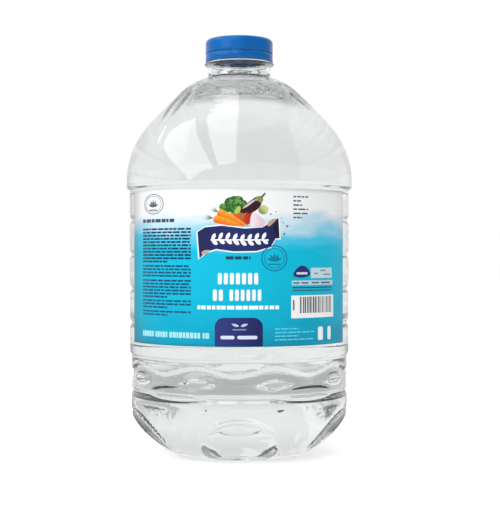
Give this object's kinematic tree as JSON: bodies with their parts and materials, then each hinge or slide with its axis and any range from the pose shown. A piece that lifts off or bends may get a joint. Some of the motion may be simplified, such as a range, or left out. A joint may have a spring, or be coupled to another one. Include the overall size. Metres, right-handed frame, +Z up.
{
  "type": "vinegar bottle",
  "caption": "Large clear bottle of white vinegar with finger grooves, a wavy band, scalloped feet, a blue screw cap and a plain blue wrap label.",
  "frame": {"origin": "centre of the foot, on the surface that the bottle stands on", "axes": "+Z up along the bottle's axis, the label faces -Y, +X to the right of the label"},
  "size_m": [0.1692, 0.1692, 0.3093],
  "materials": {
    "clear_plastic": "clear gloss",
    "white_vinegar": "clear liquid",
    "blue_cap": "satin moulded plastic",
    "label_print": "printed film label"
  },
  "bodies": {
    "root": {"bottle": "clear_plastic", "vinegar": "white_vinegar", "cap": "blue_cap", "tamper_band": "blue_cap", "label": "label_print"}
  },
  "joints": []
}
